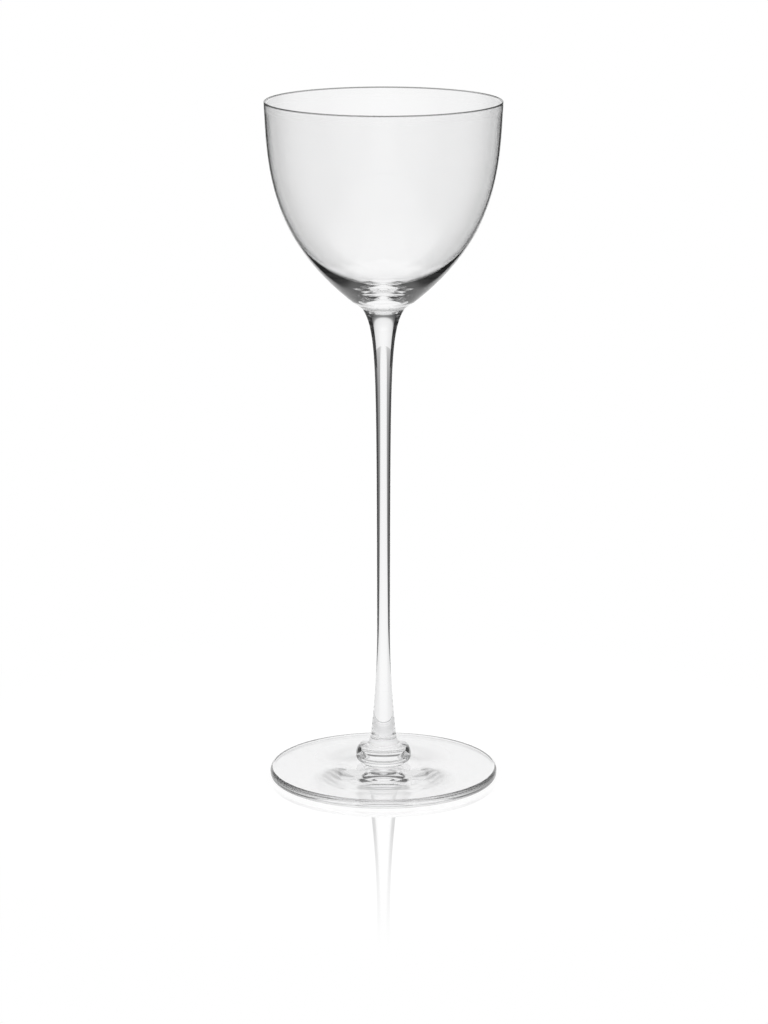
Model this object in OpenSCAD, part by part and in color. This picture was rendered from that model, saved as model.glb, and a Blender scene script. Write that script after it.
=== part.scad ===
// Cordial glass: a thin egg-shaped bowl on a long drawn stem, a small merese and a round foot.
// Millimetres, +Z up. The origin is the middle of the underside of the foot.
// Four gathers of clear glass, fused face to face on flat joints square to the axis.

/* [Foot] */
// Diameter of the foot
foot_d = 61; // [50:1:80]
// Thickness of the foot at its rounded edge
foot_edge_t = 2.4; // [1.8:0.1:3.2]
// Depth of its rounding, inwards from the widest ring
foot_round_l = 0.8; // [0.5:0.1:1.5]
// How far the top of the foot rises from the edge to its middle
foot_swell_h = 0.9; // [0.5:0.1:2]
// Diameter inside which the top of the foot runs level
foot_shoulder_d = 18.8; // [17:0.2:26]
// Height of the flared collar that carries the merese
foot_collar_h = 0.4; // [0.2:0.1:0.8]
// Width of its flare
foot_collar_l = 0.6; // [0.3:0.1:1]

/* [Merese] */
// Diameter of the merese at its widest
merese_d = 14.8; // [13:0.2:16]
// Height of the merese
merese_h = 5.3; // [4:0.1:7]
// Height of its widest ring above the foot
merese_belt_h = 1.6; // [1:0.1:3]
// How far its underside draws in from the widest ring
merese_tuck = 2.4; // [1:0.1:2.6]

/* [Stem] */
// Length of the stem between the merese and the bowl
stem_h = 118.5; // [90:0.5:150]
// Diameter of the stem at its thinnest
stem_waist_d = 3.4; // [2.8:0.1:5]
// Diameter of the stem where it meets the bowl
stem_top_d = 11.2; // [9:0.1:13]
// Distance in which the trumpet under the bowl falls to a quarter of its swell
stem_trumpet_l = 11.7; // [8:0.1:16]
// Diameter of the skirt, just above the heel
stem_skirt_d = 7.3; // [6:0.1:8]
// Length of the skirt, up to where it runs into the waist
stem_skirt_l = 33; // [25:1:45]
// Diameter of the heel, where the stem meets the merese
stem_heel_d = 8.4; // [8:0.1:10]
// Length of the heel
stem_heel_l = 3; // [2:0.1:5]

/* [Bowl] */
// Outer diameter of the bowl at the lip
lip_d = 62; // [54:1:70]
// Height of the bowl, from its joint with the stem to the lip
bowl_h = 54.4; // [50:0.1:60]
// Thickness of the wall at the lip
wall_t = 0.5; // [0.4:0.1:1]
// Thickness of the glass between the joint and the bottom of the inside
bowl_base_t = 4.3; // [3.6:0.1:7]
// How far below the joint the egg outline would close
bowl_tip_h = 4; // [3:0.1:6]
// Height of the neck that turns the egg into the stem
bowl_neck_h = 2.2; // [1.8:0.1:3]

/* [Hidden] */
$fn = 96;
glass = [0.88, 0.92, 0.93, 0.45];

// Heights of the three joints, and of the middle of the rounded lip
merese_z = foot_edge_t + foot_swell_h + foot_collar_h;
stem_z = merese_z + merese_h;
bowl_z = stem_z + stem_h;
lip_z = bowl_z + bowl_h - wall_t / 2;

// Inward lean of the side of the bowl, per length down from the lip
lean_share = 0.041;
// How sharply the egg outline turns in
egg_power = 3.1;
// How sharply the inside turns to its bottom, and how round that turn is
floor_power = 24;
floor_round_power = 0.43;
// How much thicker the wall is at the bottom, as a part of its thickness at the lip
wall_grow_share = 2;
wall_grow_power = 6.5;
// Fullness of the rounded edge of the foot: 2 is an ellipse, more is squarer
edge_power = 2.3;
// How late the top of the foot starts to rise, and how softly it runs level again
swell_power = 4;
level_power = 1.5;
// Fullness of the dome of the merese: 1 is an ellipse, less is squarer
dome_power = 0.8;

// Even steps from 0 to 1
function steps(count) = [for (i = [0 : count]) i / count];

// A curve from value a with slope sa to value b with slope sb, over a length l
function bridge(u, a, b, sa, sb, l) =
    a * (1 + 2 * u) * pow(1 - u, 2)
    + b * u * u * (3 - 2 * u)
    + sa * l * u * pow(1 - u, 2)
    + sb * l * u * u * (u - 1);

// Foot: flat underside, rounded edge, top rising to a level middle, flared collar round the merese
foot_r = foot_d / 2;
foot_flat_r = foot_r - foot_round_l;
foot_shoulder_r = foot_shoulder_d / 2;
merese_base_r = merese_d / 2 - merese_tuck;
foot_collar_r = merese_base_r + foot_collar_l;
round_power = 2 / edge_power;

// Height of the top of the foot at radius r, outside the collar
function rise_share(r) = min(1, (foot_flat_r - r) / (foot_flat_r - foot_shoulder_r));
function foot_top_z(r) =
    foot_edge_t + foot_swell_h * (1 - pow(1 - pow(rise_share(r), swell_power), level_power));

module foot() {
    edge = [for (u = steps(24))
        [foot_flat_r + foot_round_l * pow(sin(180 * u), round_power),
         foot_edge_t / 2 * (1 - sign(cos(180 * u)) * pow(abs(cos(180 * u)), round_power))]];
    top = [for (i = [1 : 30])
        let (r = foot_flat_r + (foot_collar_r - foot_flat_r) * i / 30)
        [r, foot_top_z(r)]];
    collar = [for (i = [1 : 6])
        [foot_collar_r - foot_collar_l * sin(90 * i / 6),
         merese_z - foot_collar_h * cos(90 * i / 6)]];
    color(glass)
        rotate_extrude()
            polygon(concat([[0, 0]], edge, top, collar, [[0, merese_z]]));
}

// Merese: tucked in under its widest ring, domed over it up to the heel of the stem
merese_r = merese_d / 2;
stem_heel_r = stem_heel_d / 2;

module merese() {
    belt_z = merese_z + merese_belt_h;
    dome_h = merese_h - merese_belt_h;
    under = [for (u = steps(8))
        [merese_base_r + merese_tuck * sin(90 * u),
         belt_z - merese_belt_h * cos(90 * u)]];
    dome = [for (i = [1 : 20])
        [stem_heel_r + (merese_r - stem_heel_r) * pow(cos(90 * i / 20), dome_power),
         belt_z + dome_h * pow(sin(90 * i / 20), dome_power)]];
    color(glass)
        rotate_extrude()
            polygon(concat([[0, merese_z]], under, dome, [[0, stem_z]]));
}

// Stem: a waist with a trumpet above it, and a long skirt and a short heel below it
stem_waist_r = stem_waist_d / 2;
stem_top_r = stem_top_d / 2;
stem_skirt_r = stem_skirt_d / 2;

// Swell of the trumpet at a distance x below the bowl, 1 at the top and 0 at the heel
function fall(x) = pow(stem_trumpet_l / (x + stem_trumpet_l), 2);
function trumpet(x) = (fall(x) - fall(stem_h)) / (1 - fall(stem_h));

function stem_r(h) =
    stem_waist_r
    + (stem_top_r - stem_waist_r) * trumpet(stem_h - h)
    + (stem_skirt_r - stem_waist_r) * pow(max(0, 1 - h / stem_skirt_l), 2)
    + (stem_heel_r - stem_skirt_r) * pow(max(0, 1 - h / stem_heel_l), 2);

module stem() {
    heel = [for (u = steps(8)) stem_heel_l * u];
    skirt = [for (u = steps(16)) stem_heel_l + (stem_skirt_l - stem_heel_l) * u];
    shaft = [for (u = steps(40))
        stem_skirt_l + (stem_h - stem_skirt_l) * (1 - pow(1 - u, 2))];
    heights = concat(heel, [for (i = [1 : 16]) skirt[i]], [for (i = [1 : 40]) shaft[i]]);
    side = [for (h = heights) [stem_r(h), stem_z + h]];
    color(glass)
        rotate_extrude()
            polygon(concat([[0, stem_z]], side, [[0, bowl_z]]));
}

// Bowl: an egg outline, a thin wall that thickens to the bottom, and a solid neck
lip_r = lip_d / 2;
egg_depth = lip_z - bowl_z + bowl_tip_h;
inside_depth = lip_z - bowl_z - bowl_base_t;
neck_depth = lip_z - bowl_z - bowl_neck_h;

function outer_r(s) = (lip_r - lean_share * s) * (1 - pow(s / egg_depth, egg_power));

function outer_slope(s) =
    -lean_share * (1 - pow(s / egg_depth, egg_power))
    - (lip_r - lean_share * s) * egg_power * pow(s / egg_depth, egg_power - 1) / egg_depth;

// The wall at a depth s below the lip, and the inside that it leaves
function wall(s) = wall_t * (1 + wall_grow_share * pow(s / inside_depth, wall_grow_power));
function inner_r(s) =
    (outer_r(s) - wall(s) * sqrt(1 + pow(outer_slope(s), 2)))
    * pow(1 - pow(s / inside_depth, floor_power), floor_round_power);

// Slope of the top of the trumpet, which the neck carries on
trumpet_slope = 2 * (stem_top_r - stem_waist_r) / stem_trumpet_l;

module bowl() {
    neck = [for (u = steps(14))
        [bridge(u, stem_top_r, outer_r(neck_depth),
                trumpet_slope, -outer_slope(neck_depth), bowl_neck_h),
         bowl_z + bowl_neck_h * u]];
    outside = [for (i = [1 : 56])
        let (s = neck_depth * (1 - sin(90 * i / 56)))
        [outer_r(s), lip_z - s]];
    lip = [for (i = [1 : 12])
        [lip_r - wall_t / 2 + wall_t / 2 * cos(180 * i / 12),
         lip_z + wall_t / 2 * sin(180 * i / 12)]];
    inside = [for (i = [1 : 64])
        let (s = inside_depth * sin(90 * i / 64))
        [i == 64 ? 0 : inner_r(s), lip_z - s]];
    color(glass)
        rotate_extrude()
            polygon(concat([[0, bowl_z]], neck, outside, lip, inside));
}

foot();
merese();
stem();
bowl();
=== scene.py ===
import bpy
import math
import numpy as np
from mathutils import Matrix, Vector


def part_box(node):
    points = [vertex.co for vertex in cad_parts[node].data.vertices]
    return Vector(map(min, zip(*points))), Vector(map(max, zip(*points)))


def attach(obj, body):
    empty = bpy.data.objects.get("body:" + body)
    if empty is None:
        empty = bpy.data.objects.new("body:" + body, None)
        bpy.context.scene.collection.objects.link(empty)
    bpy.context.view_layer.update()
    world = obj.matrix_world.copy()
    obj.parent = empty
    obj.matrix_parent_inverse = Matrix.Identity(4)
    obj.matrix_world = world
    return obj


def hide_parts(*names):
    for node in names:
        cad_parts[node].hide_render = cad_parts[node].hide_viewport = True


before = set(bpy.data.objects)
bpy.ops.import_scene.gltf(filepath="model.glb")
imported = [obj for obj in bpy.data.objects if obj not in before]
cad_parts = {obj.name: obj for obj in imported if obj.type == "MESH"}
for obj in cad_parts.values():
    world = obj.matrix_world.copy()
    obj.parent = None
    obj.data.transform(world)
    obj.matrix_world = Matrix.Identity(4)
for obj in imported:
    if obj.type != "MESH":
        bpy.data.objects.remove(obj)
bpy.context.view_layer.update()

# The glass's own lengths are in millimetres; those of the camera, the set and the patterns in metres
millimetre = 0.001
turns = 256  # facets round every piece
sharpAngle = 50  # degrees; faces that meet at more than this show an edge

# The joints sit where the solids have them, in millimetres above the table
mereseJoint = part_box("foot")[1][2] / millimetre
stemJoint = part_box("merese")[1][2] / millimetre
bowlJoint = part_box("stem")[1][2] / millimetre
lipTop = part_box("bowl")[1][2] / millimetre
print("frame loaded, joints at", round(mereseJoint, 2), round(stemJoint, 2), round(bowlJoint, 2))


# One maths node; a value is a number or another node's output
def mathNode(tree, operation, *values):
    node = tree.nodes.new("ShaderNodeMath")
    node.operation = operation
    for socket, value in zip(node.inputs, values):
        if isinstance(value, (int, float)):
            socket.default_value = value
        else:
            tree.links.new(value, socket)
    return node.outputs[0]


# Runs smoothly from one level to another while the value goes from start to end
def softStep(tree, value, start, end, before, after):
    node = tree.nodes.new("ShaderNodeMapRange")
    node.interpolation_type = "SMOOTHSTEP"
    tree.links.new(value, node.inputs["Value"])
    node.inputs["From Min"].default_value = start
    node.inputs["From Max"].default_value = end
    node.inputs["To Min"].default_value = before
    node.inputs["To Max"].default_value = after
    return node.outputs[0]


# A curve drawn through a few (value, level) points
def drawnCurve(tree, value, points):
    node = tree.nodes.new("ShaderNodeFloatCurve")
    first, last = points[0][0], points[-1][0]
    shifted = mathNode(tree, "SUBTRACT", value, first)
    tree.links.new(mathNode(tree, "DIVIDE", shifted, last - first), node.inputs["Value"])
    handles = node.mapping.curves[0].points
    handles[0].location = (0, points[0][1])
    handles[1].location = (1, points[-1][1])
    for place, level in points[1:-1]:
        handles.new((place - first) / (last - first), level)
    for handle in handles:
        handle.handle_type = "AUTO_CLAMPED"
    node.mapping.update()
    return node.outputs[0]


# Clear crystal. Its bump is the faint marks of hand work: soft ripples plus finer cords, each a
# noise stretched along the way the glass was worked. Its colour varies by a trace along the cords,
# and darkens in the last half millimetre of a lip: painted shade for the dark edge a lip shows in
# light.
def crystalMaterial(look):
    material = bpy.data.materials.new(look["name"])
    material.use_nodes = True
    tree = material.node_tree
    shader = tree.nodes["Principled BSDF"]
    shader.inputs["Transmission Weight"].default_value = 1
    shader.inputs["IOR"].default_value = look["ior"]
    shader.inputs["Roughness"].default_value = 0
    coordinates = tree.nodes.new("ShaderNodeTexCoord")
    bumps = None
    ripples = (look["rippleScale"], look["rippleHeight"])
    cords = (look["cordScale"], look["cordHeight"])
    for scale, height in (ripples, cords):
        stretch = tree.nodes.new("ShaderNodeMapping")
        stretch.inputs["Scale"].default_value = scale
        tree.links.new(coordinates.outputs["Object"], stretch.inputs["Vector"])
        noise = tree.nodes.new("ShaderNodeTexNoise")
        noise.inputs["Scale"].default_value = 1
        noise.inputs["Detail"].default_value = 1
        tree.links.new(stretch.outputs["Vector"], noise.inputs["Vector"])
        bump = tree.nodes.new("ShaderNodeBump")
        bump.inputs["Strength"].default_value = 1
        bump.inputs["Distance"].default_value = height
        tree.links.new(noise.outputs["Fac"], bump.inputs["Height"])
        if bumps is not None:
            tree.links.new(bumps, bump.inputs["Normal"])
        bumps = bump.outputs["Normal"]
    tree.links.new(bumps, shader.inputs["Normal"])
    trace = tree.nodes.new("ShaderNodeMix")
    trace.data_type = "RGBA"
    trace.inputs["A"].default_value = (*look["tint"], 1)
    trace.inputs["B"].default_value = (*look["cordTint"], 1)
    tree.links.new(noise.outputs["Fac"], trace.inputs["Factor"])
    colour = trace.outputs["Result"]
    # Painted shade at the lip: in its last half millimetre the glass's colour darkens, standing in for
    # the dark that the fire-polished edge shows in the light
    if "paintedLipShade" in look:
        split = tree.nodes.new("ShaderNodeSeparateXYZ")
        tree.links.new(coordinates.outputs["Object"], split.inputs[0])
        start = (lipTop - look["lipDepth"]) * millimetre
        share = softStep(tree, split.outputs["Z"], start, start + look["lipFade"] * millimetre, 0, 1)
        lipShade = tree.nodes.new("ShaderNodeMix")
        lipShade.data_type = "RGBA"
        lipShade.inputs["B"].default_value = (*look["paintedLipShade"], 1)
        tree.links.new(colour, lipShade.inputs["A"])
        tree.links.new(share, lipShade.inputs["Factor"])
        colour = lipShade.outputs["Result"]
    tree.links.new(colour, shader.inputs["Base Color"])
    return material


# The faces on which two gathers are fused: light passes them unbent
def fusedMaterial():
    material = bpy.data.materials.new("fusedJoint")
    material.use_nodes = True
    tree = material.node_tree
    tree.nodes.remove(tree.nodes["Principled BSDF"])
    clear = tree.nodes.new("ShaderNodeBsdfTransparent")
    tree.links.new(clear.outputs["BSDF"], tree.nodes["Material Output"].inputs["Surface"])
    return material


# A surface of revolution: a point of the outline at radius r and height z becomes the ring
# (r cos t, r sin t, z). The outline starts and ends on the axis, where one vertex closes it.
# joints holds the numbers of the bands of faces that are fused to a neighbour.
def turnedPiece(name, outline, material, joints):
    r, z = outline[1:-1, 0], outline[1:-1, 1]
    t = np.linspace(0, 2 * np.pi, turns, endpoint=False)
    rings = np.stack([np.outer(r, np.cos(t)), np.outer(r, np.sin(t)),
                      np.repeat(z[:, None], turns, 1)], 2)
    poles = np.array([[0, 0, outline[0, 1]], [0, 0, outline[-1, 1]]])
    points = np.concatenate([poles[:1], rings.reshape(-1, 3), poles[1:]]) * millimetre
    here = np.arange(turns)
    ahead = (here + 1) % turns
    row = 1 + np.arange(len(r) - 1)[:, None] * turns
    quads = np.stack([row + here, row + ahead, row + ahead + turns, row + here + turns], 2)
    quads = quads.reshape(-1, 4)
    lastRow = 1 + (len(r) - 1) * turns
    bottom = np.stack([np.zeros(turns, int), 1 + ahead, 1 + here], 1)
    top = np.stack([np.full(turns, len(points) - 1), lastRow + here, lastRow + ahead], 1)
    mesh = bpy.data.meshes.new(name)
    mesh.from_pydata(points.tolist(), [], bottom.tolist() + quads.tolist() + top.tolist())
    band = np.concatenate([np.zeros(turns, int), 1 + np.arange(len(quads)) // turns,
                           np.full(turns, len(r))])
    fusedBands = [number % (len(r) + 1) for number in joints]
    mesh.materials.append(material)
    mesh.materials.append(fused)
    mesh.polygons.foreach_set("material_index", np.isin(band, fusedBands).astype(np.int32))
    mesh.polygons.foreach_set("use_smooth", np.ones(len(mesh.polygons), bool))
    mesh.set_sharp_from_angle(angle=math.radians(sharpAngle))
    mesh.update()
    piece = bpy.data.objects.new(name, mesh)
    bpy.context.collection.objects.link(piece)
    return piece


# A new piece rides on the glass's one body and stands for the solid of that name
def standFor(piece, node):
    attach(piece, "root")
    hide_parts(node)
    print(piece.name, "made,", len(piece.data.polygons), "faces")


fused = fusedMaterial()

foot = {
    "radius": 30.5, "edge": 2.4, "rounding": 0.8, "edgePower": 2.3,
    "swell": 0.9, "shoulder": 9.4, "swellPower": 4, "levelPower": 1.5,
    "collarHeight": 0.4, "collarWidth": 0.6, "collarBase": 5,
    "edgeRings": 73, "topRings": 200, "collarRings": 20,
}
footLook = {
    "name": "flattenedCrystal", "ior": 1.52,
    "tint": (0.985, 0.985, 0.988), "cordTint": (0.975, 0.976, 0.98),
    "rippleScale": (70, 70, 70), "rippleHeight": 0.000004,
    "cordScale": (60, 60, 1500), "cordHeight": 0.0000012,
}


# Foot: a flat underside, an edge that is a superellipse, a top that rises as
# 1 - (1 - u^swellPower)^levelPower while u goes from 0 at the edge to 1 at the shoulder, and a
# quarter-round collar that flares out under the merese
def footOutline(f):
    flat = f["radius"] - f["rounding"]
    a = np.linspace(0, np.pi, f["edgeRings"])
    side, up = np.sin(a), np.cos(a)
    power = 2 / f["edgePower"]
    edge = np.stack([flat + f["rounding"] * np.abs(side) ** power,
                     f["edge"] / 2 * (1 - np.sign(up) * np.abs(up) ** power)], 1)
    r = np.linspace(flat, f["collarBase"] + f["collarWidth"], f["topRings"])[1:]
    u = np.minimum(1, (flat - r) / (flat - f["shoulder"]))
    rise = 1 - (1 - u ** f["swellPower"]) ** f["levelPower"]
    top = np.stack([r, f["edge"] + f["swell"] * rise], 1)
    a = np.linspace(0, np.pi / 2, f["collarRings"])[1:]
    collar = np.stack([f["collarBase"] + f["collarWidth"] * (1 - np.sin(a)),
                       mereseJoint - f["collarHeight"] * np.cos(a)], 1)
    return np.concatenate([[[0, 0]], edge, top, collar, [[0, mereseJoint]]])


footDisc = turnedPiece("footDisc", footOutline(foot), crystalMaterial(footLook), [-1])
standFor(footDisc, "foot")

merese = {
    "radius": 7.4, "beltHeight": 1.6, "domePower": 0.8, "heel": 4.2,
    "underRings": 30, "domeRings": 90,
}
mereseLook = {
    "name": "pinchedCrystal", "ior": 1.52,
    "tint": (0.985, 0.985, 0.988), "cordTint": (0.975, 0.976, 0.98),
    "rippleScale": (140, 140, 140), "rippleHeight": 0.000003,
    "cordScale": (90, 90, 1200), "cordHeight": 0.000001,
}


# Merese: a quarter round from the collar of the foot out to the belt, then a dome up to the heel of
# the stem, at radius heel + (radius - heel) cos^power and height belt + height sin^power
def mereseOutline(m):
    belt = mereseJoint + m["beltHeight"]
    base = foot["collarBase"]
    a = np.linspace(0, np.pi / 2, m["underRings"])
    under = np.stack([base + (m["radius"] - base) * np.sin(a), belt - m["beltHeight"] * np.cos(a)], 1)
    a = np.linspace(0, np.pi / 2, m["domeRings"])[1:]
    over = np.stack([m["heel"] + (m["radius"] - m["heel"]) * np.cos(a) ** m["domePower"],
                     belt + (stemJoint - belt) * np.sin(a) ** m["domePower"]], 1)
    return np.concatenate([[[0, mereseJoint]], under, over, [[0, stemJoint]]])


mereseButton = turnedPiece("mereseButton", mereseOutline(merese), crystalMaterial(mereseLook), [0, -1])
standFor(mereseButton, "merese")

stem = {
    "waist": 1.7, "top": 5.6, "trumpetLength": 11.7, "skirt": 3.65, "skirtLength": 33,
    "heel": 4.2, "heelLength": 3, "creaseDepth": 0.06, "creaseWidth": 0.3,
    "heelRings": 40, "skirtRings": 110, "shaftRings": 170,
}
stemLook = {
    "name": "drawnCrystal", "ior": 1.52,
    "tint": (0.985, 0.985, 0.988), "cordTint": (0.975, 0.976, 0.98),
    "rippleScale": (250, 250, 40), "rippleHeight": 0.000002,
    "cordScale": (1400, 1400, 25), "cordHeight": 0.0000004,
}


# The soft crease that a fused joint leaves: the radius dips by depth exp(-(distance / width)^2)
def crease(distance):
    return stem["creaseDepth"] * np.exp(-(distance / stem["creaseWidth"]) ** 2)


# Stem: the waist plus a trumpet that falls with the square of l / (x + l) below the bowl, plus a
# skirt and a heel that grow as squares towards the bottom
def stemOutline(s):
    length = bowlJoint - stemJoint
    heel = np.linspace(0, s["heelLength"], s["heelRings"])
    skirt = np.linspace(s["heelLength"], s["skirtLength"], s["skirtRings"])[1:]
    u = np.linspace(0, 1, s["shaftRings"])[1:]
    shaft = s["skirtLength"] + (length - s["skirtLength"]) * (1 - (1 - u) ** 2)
    h = np.concatenate([heel, skirt, shaft])  # closer together towards the bowl
    near = (s["trumpetLength"] / (length - h + s["trumpetLength"])) ** 2
    far = (s["trumpetLength"] / (length + s["trumpetLength"])) ** 2
    r = s["waist"] + (s["top"] - s["waist"]) * (near - far) / (1 - far)
    r = r + (s["skirt"] - s["waist"]) * np.maximum(0, 1 - h / s["skirtLength"]) ** 2
    r = r + (s["heel"] - s["skirt"]) * np.maximum(0, 1 - h / s["heelLength"]) ** 2
    r = r - crease(h - length)
    side = np.stack([r, stemJoint + h], 1)
    return np.concatenate([[[0, stemJoint]], side, [[0, bowlJoint]]])


stemRod = turnedPiece("stemRod", stemOutline(stem), crystalMaterial(stemLook), [0, -1])
standFor(stemRod, "stem")

bowl = {
    "lip": 31, "lean": 0.041, "tip": 4, "eggPower": 3.1, "neck": 2.2,
    "wall": 0.5, "lipBead": 0.1, "beadHeight": 1.2, "grow": 2, "growPower": 6.5,
    "base": 4.3, "floorPower": 24, "floorRound": 0.43,
    "neckRings": 24, "outsideRings": 130, "lipRings": 17, "insideRings": 200,
}
bowlLook = {
    "name": "blownCrystal", "ior": 1.52, "tint": (1, 1, 1), "cordTint": (0.992, 0.993, 0.996),
    # painted shade: the lip's colour darkens in its last half millimetre
    "paintedLipShade": (0.3, 0.3, 0.3), "lipDepth": 0.42, "lipFade": 0.15,
    "rippleScale": (45, 45, 90), "rippleHeight": 0.0000025,
    "cordScale": (60, 60, 900), "cordHeight": 0.0000003,
}


# Bowl, by x, the depth below the lip. Outside, the radius is (lip - lean x)(1 - (x / egg)^power).
# Inside, it is that less the wall along its own slope, times (1 - (x / inside)^floorPower)^floorRound.
# The wall thickens as a power of the depth and by a small bead at the lip. The neck is a cubic that
# starts with the slope of the stem's trumpet.
def bowlOutline(b):
    lipRound = (b["wall"] + b["lipBead"]) / 2
    lipLevel = lipTop - lipRound
    egg = lipLevel - bowlJoint + b["tip"]
    inside = lipLevel - bowlJoint - b["base"]
    neckDepth = lipLevel - bowlJoint - b["neck"]

    def outer(x):
        return (b["lip"] - b["lean"] * x) * (1 - (x / egg) ** b["eggPower"])

    def slope(x):
        shrink = b["eggPower"] * (x / egg) ** (b["eggPower"] - 1) / egg
        return -b["lean"] * (1 - (x / egg) ** b["eggPower"]) - (b["lip"] - b["lean"] * x) * shrink

    def inner(x):
        wall = b["wall"] * (1 + b["grow"] * (x / inside) ** b["growPower"])
        wall = wall + b["lipBead"] * np.exp(-(x / b["beadHeight"]) ** 2)
        floorTurn = (1 - (x / inside) ** b["floorPower"]) ** b["floorRound"]
        return (outer(x) - wall * np.sqrt(1 + slope(x) ** 2)) * floorTurn

    u = np.linspace(0, 1, b["neckRings"])
    start, end = stem["top"], outer(neckDepth)
    startSlope = 2 * (stem["top"] - stem["waist"]) / stem["trumpetLength"]
    r = start * (1 + 2 * u) * (1 - u) ** 2 + end * u ** 2 * (3 - 2 * u)
    r = r + startSlope * b["neck"] * u * (1 - u) ** 2
    r = r - slope(neckDepth) * b["neck"] * u ** 2 * (u - 1)
    r = r - crease(b["neck"] * u)
    neck = np.stack([r, bowlJoint + b["neck"] * u], 1)
    x = neckDepth * (1 - np.sin(np.linspace(0, np.pi / 2, b["outsideRings"])[1:]))
    outside = np.stack([outer(x), lipLevel - x], 1)
    a = np.linspace(0, np.pi, b["lipRings"])[1:]
    lip = np.stack([b["lip"] - lipRound * (1 - np.cos(a)), lipLevel + lipRound * np.sin(a)], 1)
    x = inside * np.sin(np.linspace(0, np.pi / 2, b["insideRings"])[1:-1])
    within = np.stack([inner(x), lipLevel - x], 1)
    return np.concatenate([[[0, bowlJoint]], neck, outside, lip, within, [[0, lipLevel - inside]]])


bowlEgg = turnedPiece("bowlEgg", bowlOutline(bowl), crystalMaterial(bowlLook), [0])
standFor(bowlEgg, "bowl")

# Camera, fitted to the ellipses of the lip and the foot
view = {"right": 0.00013, "back": 0.9082, "up": 0.2936, "pitch": 13.67, "sensor": 36}
view["lensShare"] = 3524 / 1024  # focal length over the sensor's long side
cameraData = bpy.data.cameras.new("camera")
cameraData.sensor_width = view["sensor"]
cameraData.lens = cameraData.sensor_width * view["lensShare"]
camera = bpy.data.objects.new("camera", cameraData)
bpy.context.collection.objects.link(camera)
camera.location = (view["right"], -view["back"], view["up"])
camera.rotation_euler = (math.radians(90 - view["pitch"]), 0, 0)
bpy.context.scene.camera = camera

# The table, dome and cards stand on a turntable that keeps the camera's heading, as when the glass
# is turned on the table before a fixed camera. They stay upright at any height of the camera.
turntable = bpy.data.objects.new("turntable", None)
bpy.context.collection.objects.link(turntable)
heading = turntable.constraints.new("COPY_ROTATION")
heading.target = camera
heading.use_x = False
heading.use_y = False


# A part of the set, not of the glass, which turns with the turntable
def stagePiece(name, points, faces, material):
    mesh = bpy.data.meshes.new(name)
    mesh.from_pydata(points, [], faces)
    mesh.materials.append(material)
    piece = bpy.data.objects.new(name, mesh)
    bpy.context.collection.objects.link(piece)
    piece.parent = turntable
    return piece


# A material with nothing in it yet but its output
def bareMaterial(name):
    material = bpy.data.materials.new(name)
    material.use_nodes = True
    material.node_tree.nodes.remove(material.node_tree.nodes["Principled BSDF"])
    return material


table = {
    "half": 3, "below": 0.00001, "gloss": 1.6, "backLevel": 0.8,
    # How much is mirror and how much is matt, by millimetres from the axis
    "mirror": [(0, 0), (31, 0), (37, 0.47), (60, 0.36), (100, 0.12), (140, 0), (400, 0)],
    "matt": [(0, 0.06), (60, 0.06), (150, 0), (400, 0)],
    "steep": 0.5, "shallow": 0.64,
    "whiteHalf": 0.054, "greyHalf": 0.07, "fan": 0.2, "low": 0.06,
    "frontStart": -0.04, "frontEnd": 0.03, "frontHalf": 0.07, "frontEdge": 0.22, "frontSide": 0.15,
    "frontLevel": 0.85, "sideStart": 0.15, "sideEnd": 0.3, "sideLevel": 0.3,
    "nearStart": 0.03, "nearEnd": 0.35, "nearLevel": 0.3,
}


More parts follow.
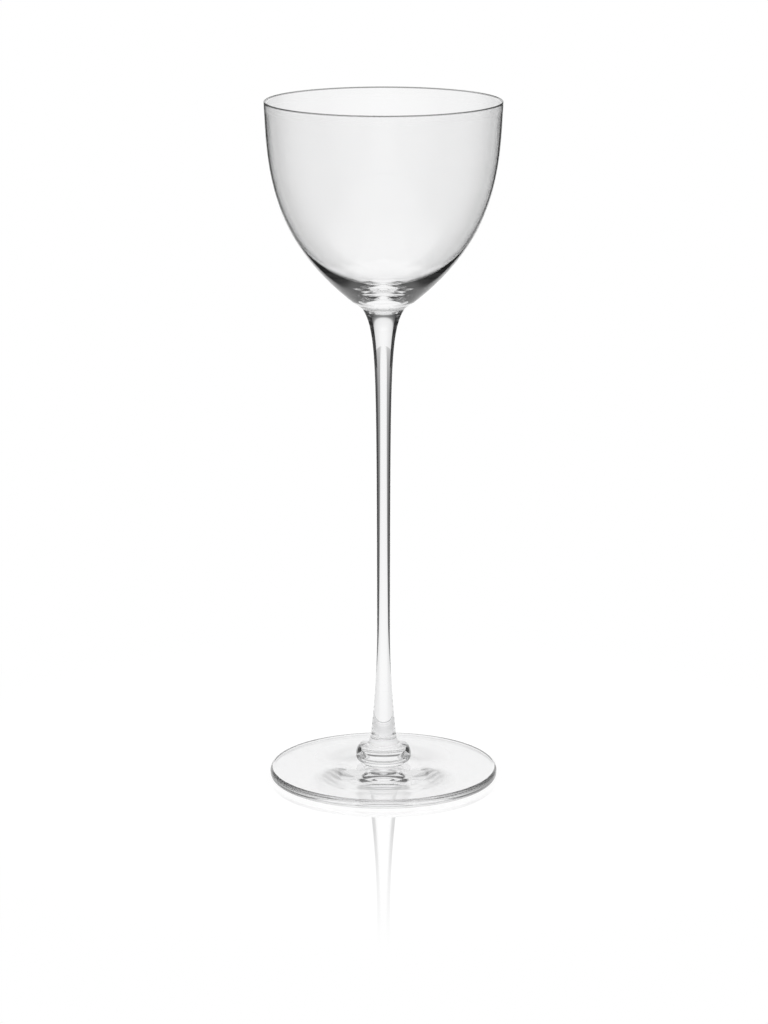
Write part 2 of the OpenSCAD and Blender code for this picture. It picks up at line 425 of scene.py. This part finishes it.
# Glossy white table. The camera sees it white, with a mirror image of the glass that fades with the
# distance from the foot and, as on any gloss, when looked at more steeply. The glass sees its lit
# patch: a white strip that runs back and fans out, and a paler field in front, both falling off with
# distance. A little of it is matt and takes a shadow.
def tableMaterial(t):
    material = bareMaterial("glossyTable")
    tree = material.node_tree
    coordinates = tree.nodes.new("ShaderNodeTexCoord").outputs["Object"]
    length = tree.nodes.new("ShaderNodeVectorMath")
    length.operation = "LENGTH"
    tree.links.new(coordinates, length.inputs[0])
    split = tree.nodes.new("ShaderNodeSeparateXYZ")
    tree.links.new(coordinates, split.inputs[0])
    side = mathNode(tree, "ABSOLUTE", split.outputs["X"])
    back = split.outputs["Y"]
    front = mathNode(tree, "MULTIPLY", back, -1)
    seen = tree.nodes.new("ShaderNodeLightPath").outputs["Is Camera Ray"]

    radius = mathNode(tree, "DIVIDE", length.outputs["Value"], millimetre)
    slant = tree.nodes.new("ShaderNodeLayerWeight").outputs["Facing"]
    gloss = softStep(tree, slant, t["steep"], t["shallow"], 0, 1)
    mirror = mathNode(tree, "MULTIPLY", drawnCurve(tree, radius, t["mirror"]), gloss)
    fresnel = tree.nodes.new("ShaderNodeFresnel")
    fresnel.inputs["IOR"].default_value = t["gloss"]
    share = tree.nodes.new("ShaderNodeMix")
    tree.links.new(seen, share.inputs["Factor"])
    tree.links.new(fresnel.outputs[0], share.inputs["A"])
    tree.links.new(mirror, share.inputs["B"])

    fanned = mathNode(tree, "MULTIPLY", mathNode(tree, "MAXIMUM", back, 0), t["fan"])
    fromStrip = mathNode(tree, "SUBTRACT", side, fanned)
    strip = softStep(tree, fromStrip, t["whiteHalf"], t["greyHalf"], 1, t["low"])
    frontWide = softStep(tree, side, t["frontHalf"], t["frontEdge"], t["frontLevel"], t["frontSide"])
    frontDeep = softStep(tree, back, t["frontStart"], t["frontEnd"], 1, 0)
    lit = mathNode(tree, "MAXIMUM", strip, mathNode(tree, "MULTIPLY", frontWide, frontDeep))
    sideFall = softStep(tree, side, t["sideStart"], t["sideEnd"], 1, t["sideLevel"])
    nearFall = softStep(tree, front, t["nearStart"], t["nearEnd"], 1, t["nearLevel"])
    lit = mathNode(tree, "MULTIPLY", mathNode(tree, "MULTIPLY", lit, sideFall), nearFall)

    # What the camera sees adds up to white: the glow makes up for what the mirrored backdrop lacks
    lack = mathNode(tree, "SUBTRACT", 1, mathNode(tree, "MULTIPLY", mirror, t["backLevel"]))
    white = mathNode(tree, "DIVIDE", lack, mathNode(tree, "SUBTRACT", 1, mirror))
    level = tree.nodes.new("ShaderNodeMix")
    tree.links.new(seen, level.inputs["Factor"])
    tree.links.new(lit, level.inputs["A"])
    tree.links.new(white, level.inputs["B"])
    glow = tree.nodes.new("ShaderNodeEmission")
    tree.links.new(level.outputs[0], glow.inputs["Strength"])
    polish = tree.nodes.new("ShaderNodeBsdfGlossy")
    polish.inputs["Roughness"].default_value = 0
    polish.inputs["Color"].default_value = (1, 1, 1, 1)
    glossy = tree.nodes.new("ShaderNodeMixShader")
    tree.links.new(share.outputs[0], glossy.inputs[0])
    tree.links.new(glow.outputs[0], glossy.inputs[1])
    tree.links.new(polish.outputs[0], glossy.inputs[2])
    matt = tree.nodes.new("ShaderNodeBsdfDiffuse")
    matt.inputs["Color"].default_value = (1, 1, 1, 1)
    surface = tree.nodes.new("ShaderNodeMixShader")
    tree.links.new(drawnCurve(tree, radius, t["matt"]), surface.inputs[0])
    tree.links.new(glossy.outputs[0], surface.inputs[1])
    tree.links.new(matt.outputs[0], surface.inputs[2])
    tree.links.new(surface.outputs[0], tree.nodes["Material Output"].inputs["Surface"])
    return material


half, below = table["half"], -table["below"]
corners = [(-half, -half, below), (half, -half, below), (half, half, below), (-half, half, below)]
stagePiece("table", corners, [(0, 1, 2, 3)], tableMaterial(table))

# Headings and heights of the light are in degrees; spot runs by the share of the spot's reach
dome = {
    "radius": 1.6, "centre": 0.074, "columns": 64, "rows": 33,
    "spotWide": 36, "spotHigh": 24,
    "spot": [(0, 1), (0.3, 0.98), (0.5, 0.93), (0.7, 0.88), (0.85, 0.8), (1, 0.45), (1.15, 0.2),
             (1.4, 0.12), (1.8, 0.05), (2.4, 0.02), (4, 0.02)],
    "aboveStart": 34, "aboveEnd": 44, "aboveNarrow": 40, "aboveWide": 80, "aboveLevel": 0.9,
    "front": [(0, 0), (115, 0.02), (133, 0.2), (145, 0.32), (160, 0.4), (180, 0.42)],
    "frontUp": [(-90, 1), (30, 1), (50, 0.3), (90, 0.2)],
}


# Backdrop dome, white to the camera. To the glass it is lit in a wide patch straight behind, falling
# off as an ellipse of heading and height, and in a second patch high up behind the glass. Behind the
# camera it is dimly lit, and its sides are dark, which draws the dark edges of the glass.
def domeMaterial(d):
    material = bareMaterial("domeLight")
    tree = material.node_tree
    split = tree.nodes.new("ShaderNodeSeparateXYZ")
    tree.links.new(tree.nodes.new("ShaderNodeTexCoord").outputs["Object"], split.inputs[0])
    degree = math.degrees(1)
    side = mathNode(tree, "ABSOLUTE", split.outputs["X"])
    swing = mathNode(tree, "MULTIPLY", mathNode(tree, "ARCTAN2", side, split.outputs["Y"]), degree)
    climb = mathNode(tree, "ARCSINE", mathNode(tree, "DIVIDE", split.outputs["Z"], d["radius"]))
    up = mathNode(tree, "MULTIPLY", climb, degree)
    wide = mathNode(tree, "DIVIDE", swing, d["spotWide"])
    high = mathNode(tree, "DIVIDE", mathNode(tree, "MAXIMUM", up, 0), d["spotHigh"])
    squares = mathNode(tree, "ADD", mathNode(tree, "POWER", wide, 2), mathNode(tree, "POWER", high, 2))
    reach = mathNode(tree, "MINIMUM", mathNode(tree, "SQRT", squares), d["spot"][-1][0])
    spot = drawnCurve(tree, reach, d["spot"])
    frontSwing = drawnCurve(tree, swing, d["front"])
    front = mathNode(tree, "MULTIPLY", frontSwing, drawnCurve(tree, up, d["frontUp"]))
    aboveSwing = softStep(tree, swing, d["aboveNarrow"], d["aboveWide"], 1, 0)
    aboveUp = softStep(tree, up, d["aboveStart"], d["aboveEnd"], 0, d["aboveLevel"])
    above = mathNode(tree, "MULTIPLY", aboveSwing, aboveUp)
    shade = mathNode(tree, "MAXIMUM", mathNode(tree, "MAXIMUM", spot, above), front)
    seen = tree.nodes.new("ShaderNodeLightPath").outputs["Is Camera Ray"]
    glow = tree.nodes.new("ShaderNodeEmission")
    tree.links.new(mathNode(tree, "MAXIMUM", shade, seen), glow.inputs["Strength"])
    tree.links.new(glow.outputs[0], tree.nodes["Material Output"].inputs["Surface"])
    return material


# The dome is a sphere: rings of equal height, closed by one point at the top and the bottom
def domePiece(d):
    a = np.linspace(0, 2 * np.pi, d["columns"], endpoint=False)
    e = np.linspace(0, np.pi, d["rows"])[1:-1]
    rings = np.stack([np.outer(np.sin(e), np.cos(a)), np.outer(np.sin(e), np.sin(a)),
                      np.repeat(np.cos(e)[:, None], len(a), 1)], 2)
    points = np.concatenate([[[0, 0, 1]], rings.reshape(-1, 3), [[0, 0, -1]]]) * d["radius"]
    here = np.arange(len(a))
    ahead = (here + 1) % len(a)
    row = 1 + np.arange(len(e) - 1)[:, None] * len(a)
    quads = np.stack([row + here, row + ahead, row + ahead + len(a), row + here + len(a)], 2)
    quads = quads.reshape(-1, 4)
    lastRow = 1 + (len(e) - 1) * len(a)
    top = np.stack([np.zeros(len(a), int), 1 + ahead, 1 + here], 1)
    bottom = np.stack([np.full(len(a), len(points) - 1), lastRow + here, lastRow + ahead], 1)
    faces = top.tolist() + quads.tolist() + bottom.tolist()
    piece = stagePiece("dome", points.tolist(), faces, domeMaterial(d))
    piece.location = (0, 0, d["centre"])
    return piece


domePiece(dome)

card = {"inner": 0.048, "outer": 0.25, "back": 0.075, "bottom": 0.1, "top": 0.3, "level": 0.03}


# Two dark cards behind the bowl, one at each side, hidden from the camera. The bowl sees them, and
# they sharpen its dark outline.
def cardMaterial(c):
    material = bareMaterial("darkCard")
    tree = material.node_tree
    glow = tree.nodes.new("ShaderNodeEmission")
    glow.inputs["Strength"].default_value = c["level"]
    tree.links.new(glow.outputs[0], tree.nodes["Material Output"].inputs["Surface"])
    return material


darkCard = cardMaterial(card)
for name, hand in (("cardLeft", -1), ("cardRight", 1)):
    near, far = hand * card["inner"], hand * card["outer"]
    corners = [(near, card["back"], card["bottom"]), (far, card["back"], card["bottom"]),
               (far, card["back"], card["top"]), (near, card["back"], card["top"])]
    piece = stagePiece(name, corners, [(0, 1, 2, 3)], darkCard)
    piece.visible_camera = False
    piece.visible_diffuse = False
    piece.visible_shadow = False

# One broad soft lamp overhead lights the matt part of the table, so the glass leaves a faint shadow
lamp = {"height": 1.2, "size": 0.8, "power": 15}
lampData = bpy.data.lights.new("softLamp", "AREA")
lampData.shape = "DISK"
lampData.size = lamp["size"]
lampData.energy = lamp["power"]
softLamp = bpy.data.objects.new("softLamp", lampData)
bpy.context.collection.objects.link(softLamp)
softLamp.location = (0, 0, lamp["height"])
softLamp.visible_camera = False
softLamp.visible_glossy = False
softLamp.visible_transmission = False
print("table, dome, cards and lamp set")

scene = bpy.context.scene
world = bpy.data.worlds.new("studio")
world.use_nodes = True
world.node_tree.nodes["Background"].inputs["Color"].default_value = (1, 1, 1, 1)
scene.world = world
scene.view_settings.view_transform = "Standard"
glassBounces = 32  # light crosses many walls of glass
scene.cycles.max_bounces = glassBounces
scene.cycles.transmission_bounces = glassBounces
scene.cycles.transparent_max_bounces = glassBounces
scene.cycles.glossy_bounces = glassBounces // 2
